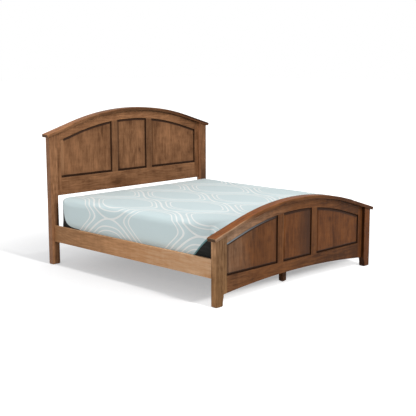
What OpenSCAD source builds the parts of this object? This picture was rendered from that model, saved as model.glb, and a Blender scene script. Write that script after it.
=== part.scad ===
// Panel bed with an arched headboard and footboard, side rails, slats and a mattress.
// Millimetres. X runs across the bed, Y from foot to head, Z up from the floor.
// The origin is on the floor, midway across and midway along. Left is the side at -X.

/* [Mattress] */
// Width of the mattress
mattress_w = 1930; // [1370:10:2130]
// Length of the mattress
mattress_l = 2032; // [1880:2:2140]
// Height of the mattress at its edge
mattress_h = 313; // [200:1:360]
// How much higher the middle of the mattress stands than its edge
crown = 6; // [2:1:20]
// Distance from the edge over which it rises to that height
crown_run = 460; // [200:10:600]
// Radius of the mattress's long edges
edge_r = 34; // [24:1:60]
// Radius of the mattress's corners, seen from above
corner_r = 46; // [36:1:100]
// How far the mattress's sides pull in between its upper and lower edges
draw_in = 5; // [1:1:9]
// Gap between the mattress and each side rail
side_gap = 16; // [6:1:40]
// Gap between the mattress and the edge of the footboard cap
foot_gap = 10; // [2:1:30]
// Gap between the mattress and the head posts
head_gap = 43; // [25:1:110]
// How far the mattress sits below the top edge of the side rails
sunk = 48; // [20:1:70]

/* [Posts] */
// Width of a post across the bed
post_w = 85; // [66:1:110]
// Depth of a post along the bed
post_d = 60; // [56:1:84]
// Rounding of a post's long edges
post_ease = 4; // [1:0.5:6]
// Rounding of the lower edges of a post's foot
foot_round = 13; // [4:1:18]
// How far a foot post's inner side sweeps in below the frame
sweep_in = 12; // [4:1:20]
// Height of that sweep
sweep_h = 62; // [30:1:80]

/* [Arch and cap] */
// Radius of the cap's upper surface
arch_r = 2500; // [1900:50:4000]
// Length of the straight part of the arch at each end, to the post's outer face
arch_end = 305; // [200:5:400]
// Thickness of the cap
cap_t = 30; // [22:1:36]
// How far the cap stands out in front of the posts
cap_front = 17; // [2:1:26]
// How far the cap stands out behind the posts
cap_back = 20; // [8:1:30]
// How far the cap runs past the outer face of each post
cap_end = 31; // [10:1:45]
// Rounding of the cap's upper edges
cap_round = 8; // [3:0.5:10]
// Rounding of the cap's lower edges
cap_under = 4; // [1:0.5:6]

/* [Headboard] */
// Height of the middle of the headboard cap
head_top = 1451; // [1250:1:1600]
// Height of the lower edge of the headboard's bottom rail
head_low = 653; // [560:1:760]
// Width of the headboard's bottom rail
head_rail_h = 168; // [110:1:200]

/* [Footboard] */
// Height of the middle of the footboard cap
foot_top = 772; // [700:1:900]
// Height of the footboard's lower edge at the posts
foot_low = 86; // [70:1:120]
// How much higher the lower edge is in the middle
foot_rise = 54; // [0:1:80]
// Width of the footboard's bottom rail at the posts
foot_rail_h = 148; // [120:1:180]

/* [Frame and panels] */
// Thickness of the stiles, rails and mullions
frame_t = 25; // [23:1:28]
// How far their front faces lie behind the front of the posts
frame_set = 28; // [20:1:30]
// Width of a stile that shows
stile_w = 66; // [50:1:110]
// Width of a mullion
mullion_w = 77; // [50:1:120]
// Width of the opening for the middle panel
centre_w = 378; // [240:2:560]
// Width of the arched top rail
top_rail_w = 84; // [60:1:110]
// Chamfer on the frame's front edges round each panel
stick = 4; // [1:0.5:6]
// Depth of the groove that holds the panels and tenons
groove_d = 12; // [8:1:16]
// Thickness of the panels' tongues and of the tenons
tongue_t = 7; // [5:0.5:8]
// Depth of that tongue behind the frame's front face
tongue_set = 13; // [11:0.5:14]
// Width of the bevel round a raised panel
bevel_w = 20; // [12:1:30]
// Depth of the panel's raised field behind the frame's front face
field_set = 4; // [2:0.5:6]
// Height of the small square step between the field and its bevel
field_step = 1.5; // [0.5:0.5:2.5]
// Room left for a panel to swell in its groove
panel_room = 2; // [1:0.5:4]
// Thickness of the tongues that join stiles to posts and frame to cap
spline_t = 12; // [8:1:14]
// Depth of those tongues
spline_d = 9; // [6:1:12]

/* [Side rails] */
// Height of a side rail
rail_h = 156; // [150:1:200]
// Thickness of a side rail
rail_t = 25; // [22:1:32]
// Height of a side rail's lower edge above the floor
rail_low = 221; // [190:1:260]
// How far a side rail's outer face lies inside the posts' outer faces
rail_inset = 29; // [12:1:34]
// Rounding of a side rail's long edges
rail_ease = 3; // [1:0.5:6]

/* [Slats, cleats and beam] */
// Number of slats
slat_count = 12; // [8:1:16]
// Width of a slat
slat_w = 90; // [60:1:110]
// Thickness of a slat
slat_t = 19; // [16:1:22]
// Gap between the end of a slat and the side rail
slat_gap = 2; // [1:0.5:5]
// Thickness of the cleat along each side rail
cleat_t = 25; // [20:1:32]
// Height of that cleat
cleat_h = 40; // [34:1:46]
// Gap between the end of a cleat and the post
cleat_gap = 40; // [10:1:80]
// Width of the centre beam
beam_w = 38; // [30:1:60]
// Height of the centre beam
beam_h = 89; // [60:1:120]
// Number of legs under the beam
leg_count = 3; // [2:1:5]
// Side of a square leg
leg_s = 46; // [32:1:60]
// Distance from the footboard's cap to the front of the first leg
leg_start = 92; // [60:1:240]
// Chamfer round the foot of a leg
leg_chamfer = 12; // [3:1:16]

/* [Fasteners] */
// Height of the hook plate in the end of each side rail
plate_h = 140; // [136:1:148]
// Width of the plates
plate_w = 16; // [14:1:20]
// Thickness of the plates
plate_t = 2.5; // [2:0.5:4]
// Thickness of a hook
hook_t = 3; // [2:0.5:4]
// Height of a hook's neck
neck_h = 14; // [10:1:16]
// Drop of a hook's lip
lip_drop = 10; // [6:1:12]
// How far a hook reaches into the post
hook_reach = 13; // [10:1:18]
// Height between the two hooks of a plate
hook_pitch = 54; // [50:1:58]
// Radius of a screw's shank
screw_r = 2; // [1.5:0.25:2.5]
// Radius of a screw's head
screw_head_r = 4; // [3.5:0.25:5]
// Length of the screws
screw_l = 35; // [30:1:38]
// Number of screws in each cleat
cleat_screws = 7; // [3:1:12]
// Distance from a cleat's end to its first screw
cleat_screw_end = 40; // [20:1:120]
// Height of those screws above the cleat's lower edge
cleat_screw_up = 12; // [10:1:14]
// Radius of the bolt that joins a leg to the beam
bolt_r = 4; // [3:0.5:6]
// Length of that bolt
bolt_l = 70; // [40:1:90]

/* [Hidden] */
// Clearance in every joint that slides or is glued
fit = 0.2;
// Clearance under and over the soft mattress
soft_fit = 0.3;
// Overshoot of a cut past the surface it goes through
past = 1;
// How far a cap's straight ends start inside its arch, so that they are one piece
lap = 0.02;
// Room round the hooks in the post's pocket
pocket_room = 2;
// Room round a hook in its slot
slot_room = 0.5;
// Gap between a hook's lip and the back of the slotted plate
lip_gap = 0.5;
// Chamfers at the lower and upper corner of a hook
hook_nose = 2;
hook_shoulder = 4;
// Points in a quarter of a small rounding
round_n = 5;
// Steps along the arch and along the footboard's lower edge
arch_n = 48;
low_n = 32;

wood_dark = "#5d3a26";
wood_mid = "#7c5236";
wood_light = "#a17551";
slat_wood = "#c9ab7e";
steel = "#9a9a9c";
cover = "#bfd0d2";

bed_w = mattress_w + 2 * (side_gap + rail_t + rail_inset);
half_w = bed_w / 2;
post_in = half_w - post_w;
clear_l = cap_back + foot_gap + mattress_l + head_gap;
total_l = cap_front + post_d + clear_l + post_d + cap_back;
foot_y = -total_l / 2 + cap_front;
head_y = foot_y + post_d + clear_l;
span_y = [foot_y + post_d, head_y];

arch_half = half_w - arch_end;
arch_a = asin(arch_half / arch_r);
stile_in = post_in - stile_w;
centre_half = centre_w / 2;
side_in = centre_half + mullion_w;
open_off = cap_t + top_rail_w;

// Each end board: [top of the cap, lower edge at the posts, rise of that edge, sill of the panels]
HEAD = [head_top, head_low, 0, head_low + head_rail_h];
FOOT = [foot_top, foot_low, foot_rise, foot_low + foot_rail_h];

rail_out = half_w - rail_inset;
rail_in = rail_out - rail_t;
rail_top = rail_low + rail_h;
seat_z = rail_top - sunk;
cleat_top = seat_z - slat_t;
cleat_in = rail_in - cleat_t;
cleat_mid = rail_in - cleat_t / 2;
beam_low = cleat_top - beam_h;
mattress_y = span_y[0] + cap_back + foot_gap;
slat_pitch = (mattress_l - slat_w) / (slat_count - 1);
plate_x = (rail_out + rail_in) / 2;
plate_z = rail_low + rail_h / 2;
hook_z = [-hook_pitch / 2 - neck_h, hook_pitch / 2 - neck_h];
plate_screw_z = plate_h / 2 - screw_head_r * 2;
beam_y = [span_y[0] + cap_back + leg_start / 2, span_y[1] - cap_back - leg_start / 2];
leg_y = [span_y[0] + cap_back + leg_start, span_y[1] - cap_back - leg_start - leg_s];

BOARDS = ["head", "foot"];
SIDES = ["left", "right"];
PANELS = ["left", "centre", "right"];

// Points of an arc from angle a0 to a1
function arc(cx, cy, r, a0, a1, n = round_n) =
    [for (i = [0:n]) let (a = a0 + (a1 - a0) * i / n) [cx + r * cos(a), cy + r * sin(a)]];

// A rectangle from x0, y0 to x1, y1 with its corners rounded by r
function rounded(x0, y0, x1, y1, r) = concat(
    arc(x0 + r, y0 + r, r, 180, 270), arc(x1 - r, y0 + r, r, 270, 360),
    arc(x1 - r, y1 - r, r, 0, 90), arc(x0 + r, y1 - r, r, 90, 180));

// Height of the arch line at x, set in by off from the cap's upper surface, from the cap's apex
function arch_z(x, off) =
    let (r = arch_r - off, xt = r * sin(arch_a))
    abs(x) < xt ? sqrt(r * r - x * x) - arch_r
                : r * cos(arch_a) - arch_r - (abs(x) - xt) * tan(arch_a);

// The arch line's own points from left to right
function arch_line(off) =
    let (r = arch_r - off, x_end = half_w + cap_end + past)
    concat([[-x_end, arch_z(x_end, off)]],
        [for (i = [0:arch_n]) let (a = arch_a * (2 * i / arch_n - 1)) [r * sin(a), r * cos(a) - arch_r]],
        [[x_end, arch_z(x_end, off)]]);

// Height of an end board's lower edge at x
function low_z(b, x) = b[1] + b[2] * (1 - pow(x / post_in, 2));

// Everything below the arch line, in the board's own height
module under_arch(b, off) {
    x_end = half_w + cap_end + past;
    translate([0, b[0]]) polygon(concat([[-x_end, -b[0]]], arch_line(off), [[x_end, -b[0]]]));
}

// Everything above a board's lower edge
module over_low(b) {
    line = [for (i = [0:low_n]) let (x = post_in * (2 * i / low_n - 1)) [x, low_z(b, x)]];
    polygon(concat([[-post_in, b[0]]], line, [[post_in, b[0]]]));
}

// The part of an upright strip from x0 to x1 that lies inside a shape
module strip(x0, x1, z0, z1) {
    intersection() {
        translate([x0, z0]) square([x1 - x0, z1 - z0]);
        children();
    }
}

// A shape drawn in X and Z, extruded along Y from y0 to y1
module slab(y0, y1) {
    translate([0, y1, 0]) rotate([90, 0, 0]) linear_extrude(y1 - y0) children();
}

// A shape drawn in Y and Z, extruded along X from x0 to x1
module plank(x0, x1) {
    translate([x0, 0, 0]) rotate([90, 0, 90]) linear_extrude(x1 - x0) children();
}

module sided(side) {
    if (side == "left") mirror([1, 0, 0]) children();
    else children();
}

// The opening for a panel, grown by grow on every side
module opening(b, x0, x1, grow) {
    strip(x0 - grow, x1 + grow, b[3] - grow, b[0]) under_arch(b, open_off - grow);
}

// The groove in both rails for the panels and mullions, and the chamfer on the frame's front edges that face it
module frame_cuts(b) {
    slab(frame_set + tongue_set - fit, frame_set + tongue_set + tongue_t + fit)
        opening(b, -stile_in, stile_in, groove_d);
    chamfer_cut(b, -centre_half, centre_half);
    chamfer_cut(b, side_in, stile_in);
    chamfer_cut(b, -stile_in, -side_in);
}

module chamfer_cut(b, x0, x1) {
    hull() {
        slab(frame_set - past, frame_set) opening(b, x0, x1, stick);
        slab(frame_set, frame_set + stick) opening(b, x0, x1, 0);
    }
}

// Depths of the tenons and panel tongues, and of the wider tongues, along Y
module tenon_slab() {
    slab(frame_set + tongue_set, frame_set + tongue_set + tongue_t) children();
}

spline_y = [frame_set + (frame_t - spline_t) / 2, frame_set + (frame_t + spline_t) / 2];

// The solid wood of the frame from x0 to x1, below the cap and above the lower edge
module frame_body(b, x0, x1) {
    strip(x0, x1, 0, b[0]) intersection() {
        under_arch(b, cap_t + fit);
        over_low(b);
    }
}

module board_at(name) {
    translate([0, name == "head" ? head_y : foot_y, 0]) children();
}

function board(name) = name == "head" ? HEAD : FOOT;
function wood(name) = name == "head" ? wood_mid : wood_dark;

// One post, on the right. Its top follows the slope of the cap.
module post_right(name) {
    b = board(name);
    sweep = name == "foot" ? sweep_in : 0;
    sweep_z = b[1] - sweep_h;
    top_out = b[0] + arch_z(half_w, cap_t + fit);
    top_in = b[0] + arch_z(post_in, cap_t + fit);
    foot_in = post_in + sweep;
    side = concat(
        arc(foot_in + foot_round, foot_round, foot_round, 180, 270),
        arc(half_w - foot_round, foot_round, foot_round, 270, 360),
        [[half_w, top_out], [post_in, top_in]],
        sweep > 0 ? [for (i = [0:round_n]) let (t = i / round_n)
            [post_in + sweep * (1 - pow(1 - t, 2)), b[1] - sweep_h * t]] : []);
    depth = concat(
        arc(foot_round, foot_round, foot_round, 180, 270),
        arc(post_d - foot_round, foot_round, foot_round, 270, 360),
        [[post_d, b[0]], [0, b[0]]]);
    difference() {
        intersection() {
            slab(0, post_d) polygon(side);
            plank(post_in, half_w) polygon(depth);
            linear_extrude(b[0]) polygon(rounded(post_in, 0, half_w, post_d, post_ease));
        }
        translate([post_in - past, spline_y[0] - fit, b[1] - fit])
            cube([spline_d + fit + past, spline_t + 2 * fit, b[0]]);
    }
}

// The recess and pocket in a post for a slotted plate and the hooks that reach through it
module post_mortise(name) {
    face = name == "head" ? 0 : post_d;
    into = name == "head" ? 1 : -1;
    recess = [plate_w + 2 * fit, plate_t + fit, plate_h + 2 * fit];
    pocket_w = hook_t + 2 * pocket_room;
    pocket_low = hook_z[0] - lip_drop - pocket_room;
    pocket_high = hook_z[1] + neck_h + lip_drop + pocket_room;
    translate([plate_x, face, plate_z]) scale_y(into) {
        translate([-recess[0] / 2, -past, -recess[2] / 2]) cube(recess + [0, past, 0]);
        translate([-pocket_w / 2, 0, pocket_low])
            cube([pocket_w, hook_reach + pocket_room, pocket_high - pocket_low]);
    }
}

module scale_y(sign) {
    if (sign < 0) mirror([0, 1, 0]) children();
    else children();
}

module post(name, side) {
    color(wood(name)) board_at(name) sided(side) difference() {
        post_right(name);
        post_mortise(name);
        post_face(name) screws_in_plate() screw(fit);
    }
}

// Puts its children on the face of the right-hand post that the side rail meets, facing into the post
module post_face(name) {
    translate([plate_x, name == "head" ? 0 : post_d, plate_z])
        scale_y(name == "head" ? 1 : -1) children();
}

// The cap's section, from its upper surface down and from front to back
function cap_section(low) = concat(
    arc(low + cap_under, -cap_front + cap_under, cap_under, 180, 270),
    arc(low + cap_t - cap_round, -cap_front + cap_round, cap_round, 270, 360),
    arc(low + cap_t - cap_round, post_d + cap_back - cap_round, cap_round, 0, 90),
    arc(low + cap_under, post_d + cap_back - cap_under, cap_under, 90, 180));

// The straight end of a cap, lying along +X from where the arch ends, on the right
module cap_arm() {
    length = (half_w + cap_end - arch_half) / cos(arch_a);
    end_side = concat([[-lap, -cap_t]], arc(length - cap_under, cap_under - cap_t, cap_under, 270, 360),
        arc(length - cap_round, -cap_round, cap_round, 0, 90), [[-lap, 0]]);
    end_plan = concat([[-lap, -cap_front]],
        arc(length - cap_round, cap_round - cap_front, cap_round, 270, 360),
        arc(length - cap_round, post_d + cap_back - cap_round, cap_round, 0, 90),
        [[-lap, post_d + cap_back]]);
    translate([arch_half, 0, arch_z(arch_half, 0)]) rotate([0, arch_a, 0]) intersection() {
        translate([-lap, 0, 0]) rotate([0, 90, 0]) mirror([1, 0, 0])
            linear_extrude(length + lap) polygon(cap_section(-cap_t));
        slab(-cap_front - past, post_d + cap_back + past) polygon(end_side);
        translate([0, 0, -cap_t - past]) linear_extrude(cap_t + 2 * past) polygon(end_plan);
    }
}

module cap(name) {
    b = board(name);
    color(wood(name)) board_at(name) translate([0, 0, b[0]]) difference() {
        union() {
            translate([0, 0, -arch_r]) rotate([90, 0, 0]) rotate([0, 0, 90 - arch_a])
                rotate_extrude(angle = 2 * arch_a, $fn = 720)
                mirror([0, 1]) polygon(cap_section(arch_r - cap_t));
            cap_arm();
            mirror([1, 0, 0]) cap_arm();
        }
        slab(spline_y[0] - fit, spline_y[1] + fit) translate([0, -b[0]])
            strip(-post_in, post_in, 0, b[0]) difference() {
                under_arch(b, cap_t - spline_d);
                under_arch(b, cap_t + past);
            }
    }
}

// The tongue along the frame's upper edge that fits the groove under the cap
module top_tongue(b, x0, x1) {
    slab(spline_y[0], spline_y[1]) strip(x0, x1, 0, b[0]) difference() {
        under_arch(b, cap_t - spline_d + fit);
        under_arch(b, cap_t + spline_d);
    }
}

module top_rail(name) {
    b = board(name);
    reach = stile_in + groove_d - fit;
    color(wood(name)) board_at(name) difference() {
        union() {
            slab(frame_set, frame_set + frame_t) difference() {
                frame_body(b, -stile_in, stile_in);
                under_arch(b, open_off);
            }
            top_tongue(b, -stile_in, stile_in);
            tenon_slab() difference() {
                frame_body(b, -reach, reach);
                under_arch(b, open_off - groove_d);
            }
        }
        frame_cuts(b);
    }
}

module bottom_rail(name) {
    b = board(name);
    reach = stile_in + groove_d - fit;
    color(wood(name)) board_at(name) difference() {
        union() {
            slab(frame_set, frame_set + frame_t)
                strip(-stile_in, stile_in, 0, b[3]) over_low(b);
            tenon_slab() strip(-reach, reach, 0, b[3] - groove_d) over_low(b);
        }
        frame_cuts(b);
    }
}

module stile(name, side) {
    b = board(name);
    color(wood(name)) board_at(name) sided(side) difference() {
        union() {
            slab(frame_set, frame_set + frame_t) frame_body(b, stile_in, post_in);
            top_tongue(b, stile_in, post_in - fit);
            slab(spline_y[0], spline_y[1]) strip(post_in - spline_d, post_in + spline_d, b[1], b[0])
                under_arch(b, cap_t + fit);
        }
        slab(frame_set + tongue_set - fit, frame_set + tongue_set + tongue_t + fit)
            translate([stile_in - past, 0]) square([groove_d + past, b[0]]);
        chamfer_cut(b, side_in, stile_in);
    }
}

module mullion(name, side) {
    b = board(name);
    color(wood(name)) board_at(name) sided(side) difference() {
        union() {
            slab(frame_set, frame_set + frame_t)
                strip(centre_half, side_in, b[3], b[0]) under_arch(b, open_off);
            tenon_slab() strip(centre_half + groove_d, side_in - groove_d, b[3] - groove_d + fit, b[0])
                under_arch(b, open_off - groove_d + fit);
        }
        slab(frame_set + tongue_set - fit, frame_set + tongue_set + tongue_t + fit) {
            translate([centre_half - past, 0]) square([groove_d + past, b[0]]);
            translate([side_in - groove_d, 0]) square([groove_d + past, b[0]]);
        }
        chamfer_cut(b, -centre_half, centre_half);
        chamfer_cut(b, side_in, stile_in);
    }
}

// A panel with a raised field: a flat tongue all round, then a bevel, a small step and the field
module panel(name, place) {
    b = board(name);
    x0 = place == "centre" ? -centre_half : side_in;
    x1 = place == "centre" ? centre_half : stile_in;
    front = frame_set + tongue_set + fit;
    back = frame_set + tongue_set + tongue_t - fit;
    field = frame_set + field_set;
    shoulder = field + field_step;
    color(wood(name)) board_at(name) sided(place) {
        slab(front, back) opening(b, x0, x1, groove_d - panel_room);
        hull() {
            slab(front, back) opening(b, x0, x1, -fit);
            slab(shoulder, back) opening(b, x0, x1, -bevel_w);
        }
        slab(field, back) opening(b, x0, x1, -bevel_w - fit);
    }
}

// A countersunk screw that points along +Y, with its head's face at Y = 0
module screw(grow = 0) {
    head_d = screw_head_r - screw_r;
    rotate([-90, 0, 0]) rotate_extrude($fn = 24) polygon([
        [0, grow > 0 ? -past : 0], [screw_head_r + grow, grow > 0 ? -past : 0],
        [screw_head_r + grow, 0], [screw_r + grow, head_d],
        [screw_r + grow, screw_l - screw_r], [0, screw_l + grow]]);
}

module screws_in_plate() {
    for (z = [-plate_screw_z, plate_screw_z]) translate([0, 0, z]) children();
}

// Puts its children at all four corners of the bed, on the post's face and pointing into the post
module each_corner() {
    for (name = BOARDS, side = SIDES) board_at(name) sided(side) post_face(name) children();
}

// The hook plate in the rail's end: Y = 0 is the post's face, and the hooks reach into the post
module hook_plate() {
    lip = plate_t + lip_gap;
    difference() {
        translate([-plate_w / 2, -fit - plate_t, -plate_h / 2]) cube([plate_w, plate_t, plate_h]);
        translate([0, -fit, 0]) screws_in_plate() mirror([0, 1, 0]) screw(fit);
    }
    for (z = hook_z) translate([0, 0, z]) plank(-hook_t / 2, hook_t / 2) polygon([
        [-fit - plate_t / 2, 0], [lip, 0], [lip, -lip_drop], [hook_reach - hook_nose, -lip_drop],
        [hook_reach, hook_nose - lip_drop], [hook_reach, neck_h - hook_shoulder],
        [hook_reach - hook_shoulder, neck_h],
        [-fit - plate_t / 2, neck_h]]);
}

// The slotted plate let into the post
module slot_plate() {
    slot = [hook_t + 2 * slot_room, plate_t + 2 * past, neck_h + lip_drop + 2 * slot_room];
    difference() {
        translate([-plate_w / 2, 0, -plate_h / 2]) cube([plate_w, plate_t, plate_h]);
        screws_in_plate() screw(fit);
        for (z = hook_z) translate([-slot[0] / 2, -past, z - fit]) cube(slot);
    }
}

module rail_hook_plates() {
    color(steel) each_corner() hook_plate();
}

module post_slot_plates() {
    color(steel) each_corner() slot_plate();
}

module plate_screws() {
    color(steel) each_corner() {
        screws_in_plate() screw();
        translate([0, -fit, 0]) screws_in_plate() mirror([0, 1, 0]) screw();
    }
}

// Places of the screws that hold a cleat, on the right
module each_cleat_screw() {
    margin = cleat_gap + cleat_screw_end;
    step = (clear_l - 2 * margin) / (cleat_screws - 1);
    for (i = [0:cleat_screws - 1])
        translate([cleat_in, span_y[0] + margin + i * step, cleat_top - cleat_h + cleat_screw_up])
            rotate([0, 0, -90]) children();
}

module side_rail(side) {
    color(wood_light) sided(side) difference() {
        slab(span_y[0] + fit, span_y[1] - fit)
            polygon(rounded(rail_in, rail_low, rail_out, rail_top, rail_ease));
        for (name = BOARDS) board_at(name) post_face(name) {
            translate([-plate_w / 2 - fit, -fit * 2 - plate_t, -plate_h / 2 - fit])
                cube([plate_w + 2 * fit, plate_t + past, plate_h + 2 * fit]);
            translate([0, -fit, 0]) screws_in_plate() mirror([0, 1, 0]) screw(fit);
        }
        each_cleat_screw() screw(fit);
    }
}

module cleat(side) {
    color(slat_wood) sided(side) difference() {
        translate([cleat_in, span_y[0] + cleat_gap, cleat_top - cleat_h])
            cube([cleat_t, clear_l - 2 * cleat_gap, cleat_h]);
        each_cleat_screw() screw(fit);
        for (i = [1:slat_count]) slat_screw_at(i, cleat_mid) screw(fit);
    }
}

function slat_y(i) = mattress_y + slat_w / 2 + (i - 1) * slat_pitch;

module slat_screw_at(i, x) {
    translate([x, slat_y(i), seat_z]) rotate([-90, 0, 0]) children();
}

module slat(i) {
    half_l = rail_in - slat_gap;
    y0 = slat_y(i) - slat_w / 2;
    color(slat_wood) difference() {
        plank(-half_l, half_l) polygon(rounded(y0, cleat_top, y0 + slat_w, seat_z, rail_ease));
        for (x = [-cleat_mid, 0, cleat_mid]) slat_screw_at(i, x) screw(fit);
    }
}

module slat_screws() {
    color(steel) for (i = [1:slat_count], x = [-cleat_mid, 0, cleat_mid]) slat_screw_at(i, x) screw();
}

module cleat_screws() {
    color(steel) for (side = SIDES) sided(side) each_cleat_screw() screw();
}

function leg_at(i) = leg_y[0] + (i - 1) * (leg_y[1] - leg_y[0]) / (leg_count - 1);

module leg_bolt_at(i, grow = 0) {
    translate([0, leg_at(i) + leg_s / 2, beam_low - bolt_l / 2 - grow])
        cylinder(r = bolt_r + grow, h = bolt_l + 2 * grow, $fn = 32);
}

module centre_beam() {
    color(slat_wood) difference() {
        translate([-beam_w / 2, beam_y[0], beam_low]) cube([beam_w, beam_y[1] - beam_y[0], beam_h]);
        for (i = [1:leg_count]) leg_bolt_at(i, fit);
        for (i = [1:slat_count]) slat_screw_at(i, 0) screw(fit);
    }
}

module centre_leg(i) {
    foot = leg_s / 2 - leg_chamfer;
    side = [[-foot, 0], [foot, 0], [leg_s / 2, leg_chamfer], [leg_s / 2, beam_low],
        [-leg_s / 2, beam_low], [-leg_s / 2, leg_chamfer]];
    color(wood_dark) difference() {
        translate([0, leg_at(i) + leg_s / 2, 0]) intersection() {
            slab(-leg_s / 2, leg_s / 2) polygon(side);
            plank(-leg_s / 2, leg_s / 2) polygon(side);
        }
        leg_bolt_at(i, fit);
    }
}

module leg_bolts() {
    color(steel) for (i = [1:leg_count]) leg_bolt_at(i);
}

// The mattress is rings of points round its outline, from its base over its sides to its top.
// Each ring is [how far it lies inside the outline, height].
edge_steps = [75, 60, 45, 30, 15, 0];
side_steps = [0, 0.2, 0.4, 0.6, 0.8, 1];
crown_steps = [1 / 3, 2 / 3, 1];
mattress_rings = let (h = mattress_h, r = edge_r) concat(
    [for (a = [0, 30, 60]) [r - r * sin(a), r - r * cos(a)]],
    [for (t = side_steps) [draw_in * sin(180 * t), r + (h - 2 * r) * t]],
    [for (a = edge_steps) [r - r * sin(a), h - r + r * cos(a)]],
    [for (t = crown_steps) [r + crown_run * t, h + crown * sin(90 * t)]]);

// Points of a mattress ring: straight sides and round corners, drawn in by inset
corner_n = 5;
side_n = 6;
function mattress_ring(inset, z) =
    let (hx = mattress_w / 2 - inset, hy = mattress_l / 2 - inset, r = max(corner_r - inset, edge_r / 4))
    [for (q = [0:3]) let (
            sx = [1, -1, -1, 1][q], sy = [1, 1, -1, -1][q],
            nx = [-1, -1, 1, 1][q], ny = [1, -1, -1, 1][q],
            from = [sx * (hx - (q % 2 == 1 ? 0 : r)), sy * (hy - (q % 2 == 1 ? r : 0))],
            to = [nx * (hx - (q % 2 == 1 ? 0 : r)), ny * (hy - (q % 2 == 1 ? r : 0))])
        each concat(
            [for (i = [0:corner_n - 1]) let (a = 90 * (q + i / corner_n))
                [sx * (hx - r) + r * cos(a), sy * (hy - r) + r * sin(a), z]],
            [for (i = [0:side_n - 1]) [from[0] + (to[0] - from[0]) * i / side_n,
                from[1] + (to[1] - from[1]) * i / side_n, z]])];

module mattress() {
    rings = [for (g = mattress_rings) mattress_ring(g[0], g[1])];
    n = len(rings[0]);
    last = len(rings) - 1;
    base = n * len(rings);
    faces = [for (i = [0:n - 1]) let (j = (i + 1) % n) each concat(
        [[base, i, j], [base + 1, last * n + j, last * n + i]],
        [for (k = [0:last - 1]) [k * n + i, (k + 1) * n + i, k * n + j]],
        [for (k = [0:last - 1]) [k * n + j, (k + 1) * n + i, (k + 1) * n + j]])];
    middles = [[0, 0, 0], [0, 0, mattress_h + crown]];
    color(cover) translate([0, mattress_y + mattress_l / 2, seat_z + soft_fit])
        polyhedron(concat([for (ring = rings) each ring], middles), faces);
}

for (b = BOARDS, s = SIDES) post(b, s);
for (b = BOARDS) cap(b);
for (b = BOARDS) top_rail(b);
for (b = BOARDS) bottom_rail(b);
for (b = BOARDS, s = SIDES) stile(b, s);
for (b = BOARDS, s = SIDES) mullion(b, s);
for (b = BOARDS, p = PANELS) panel(b, p);
for (s = SIDES) side_rail(s);
for (s = SIDES) cleat(s);
for (i = [1:slat_count]) slat(i);
centre_beam();
for (i = [1:leg_count]) centre_leg(i);
rail_hook_plates();
post_slot_plates();
plate_screws();
cleat_screws();
slat_screws();
leg_bolts();
mattress();
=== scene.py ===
"""Finishes an arched panel bed: wood, metal, mattress, floor, light and camera."""

import math
from functools import partialmethod

import bmesh
import bpy
import numpy as np
from mathutils import Matrix, Vector


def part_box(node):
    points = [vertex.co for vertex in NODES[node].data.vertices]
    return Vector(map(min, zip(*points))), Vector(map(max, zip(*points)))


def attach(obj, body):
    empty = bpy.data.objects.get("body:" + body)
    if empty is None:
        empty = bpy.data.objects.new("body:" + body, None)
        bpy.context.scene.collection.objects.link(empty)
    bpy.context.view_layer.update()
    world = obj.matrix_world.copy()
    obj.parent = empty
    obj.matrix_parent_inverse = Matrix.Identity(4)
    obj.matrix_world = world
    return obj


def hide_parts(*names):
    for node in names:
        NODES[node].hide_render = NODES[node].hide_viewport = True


bl_info = {
    "name": "Arched Panel Bed",
    "version": (1, 0, 0),
    "blender": (4, 5, 0),
    "location": "3D View > Sidebar > Bed",
    "description": "Finishes an arched panel bed's wood and metal, makes its mattress and lights it",
    "category": "Object",
}

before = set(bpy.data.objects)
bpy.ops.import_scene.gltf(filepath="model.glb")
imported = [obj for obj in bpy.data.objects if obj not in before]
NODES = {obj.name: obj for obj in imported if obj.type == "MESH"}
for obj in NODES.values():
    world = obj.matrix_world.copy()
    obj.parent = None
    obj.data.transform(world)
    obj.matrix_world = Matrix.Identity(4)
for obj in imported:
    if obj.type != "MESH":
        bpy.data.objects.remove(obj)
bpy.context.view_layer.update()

# Sizes that the finishes follow, in metres

# Radius of the arch along a cap's top, and half the width of its arc, past which it runs straight
ARCH_R = 2.5
ARCH_HALF = 0.723
ARCH_LEAN = math.asin(ARCH_HALF / ARCH_R)
# Thickness of a cap, and how far below its top the panels' openings begin
CAP_T = 0.030
OPEN_OFF = 0.114
# Width of the sunk bevel round a raised panel
BEVEL_W = 0.0205
# The mattress's box, its centre and half its size, and how much its middle stands above its edges
MATTRESS_LOW, MATTRESS_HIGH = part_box("mattress")
CENTRE = (MATTRESS_HIGH + MATTRESS_LOW) / 2
HALF = (MATTRESS_HIGH - MATTRESS_LOW) / 2
CROWN = 0.006


def stand(name, data):
    """Stands a new object in the scene."""
    made = bpy.data.objects.new(name, data)
    bpy.context.scene.collection.objects.link(made)
    return made


def stand_mesh(name, mesh):
    """Stands a new piece in the scene, and frees the mesh that it was shaped in."""
    data = bpy.data.meshes.new(name)
    mesh.to_mesh(data)
    mesh.free()
    return stand(name, data)


def middle(node):
    """The centre of a node's box."""
    low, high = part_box(node)
    return (low + high) / 2


def board(end):
    """Where an end board's arch, front, bottom rail, right-hand corner and openings lie."""
    rail_low, rail_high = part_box(end + "_bottom_rail")
    stile_low, stile_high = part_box(end + "_stile_right")
    mullion_low, mullion_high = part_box(end + "_mullion_right")
    return {
        "top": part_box(end + "_cap")[1].z,
        "front": rail_low.y,
        "sill": rail_high.z,
        "underside": rail_low.z,
        "corner": stile_high.x,
        "openings": {
            "left": (-stile_low.x, -mullion_high.x),
            "centre": (-mullion_low.x, mullion_low.x),
            "right": (mullion_high.x, stile_low.x),
        },
    }


BOARDS = {end: board(end) for end in ("head", "foot")}


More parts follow.
